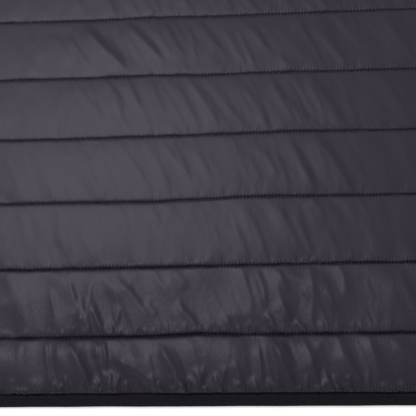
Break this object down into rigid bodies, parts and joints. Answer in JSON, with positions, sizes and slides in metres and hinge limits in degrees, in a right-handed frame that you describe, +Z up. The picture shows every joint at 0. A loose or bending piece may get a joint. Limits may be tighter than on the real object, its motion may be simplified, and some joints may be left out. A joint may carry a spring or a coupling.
{
  "type": "quilted softshell jacket",
  "caption": "Zip-front jacket laid flat with its back up: channel-quilted padded body, plain softshell sleeves and stand collar, and bound hem and cuffs.",
  "frame": {"origin": "middle of the flat underside: halfway between the sleeves and halfway from hem to collar, on the surface the jacket lies on", "axes": "+X towards the right-hand sleeve as seen from above, +Y from hem to collar, +Z up out of the back panel"},
  "size_m": [1.4408, 0.74, 0.0147],
  "materials": {
    "quilted_nylon": "thin plain-woven nylon with a soft sheen, dark violet grey, puckered along its stitching",
    "softshell": "matte bonded stretch fabric, near black",
    "binding": "matte fine-ribbed stretch binding, near black",
    "zip_tape": "matte woven tape, near black",
    "zip_teeth": "satin moulded teeth, black",
    "zip_metal": "satin black coated metal"
  },
  "bodies": {
    "garment": {"back": "quilted_nylon", "front_left": "quilted_nylon", "front_right": "quilted_nylon", "sleeve_left": "softshell", "sleeve_right": "softshell", "collar": "softshell", "hem_band_back": "binding", "hem_band_left": "binding", "hem_band_right": "binding", "cuff_left": "binding", "cuff_right": "binding", "zip_tape_left": "zip_tape", "zip_tape_right": "zip_tape", "zip_chain": "zip_teeth", "zip_slider": "zip_metal"},
    "pull_tab": {"zip_pull": "zip_metal"}
  },
  "joints": [
    {"name": "pull_hinge", "type": "hinge", "parent": "garment", "child": "pull_tab", "pos_m": [0, 0.297, 0.00095], "axis": [1, 0, 0], "range_deg": [0, 170]}
  ]
}
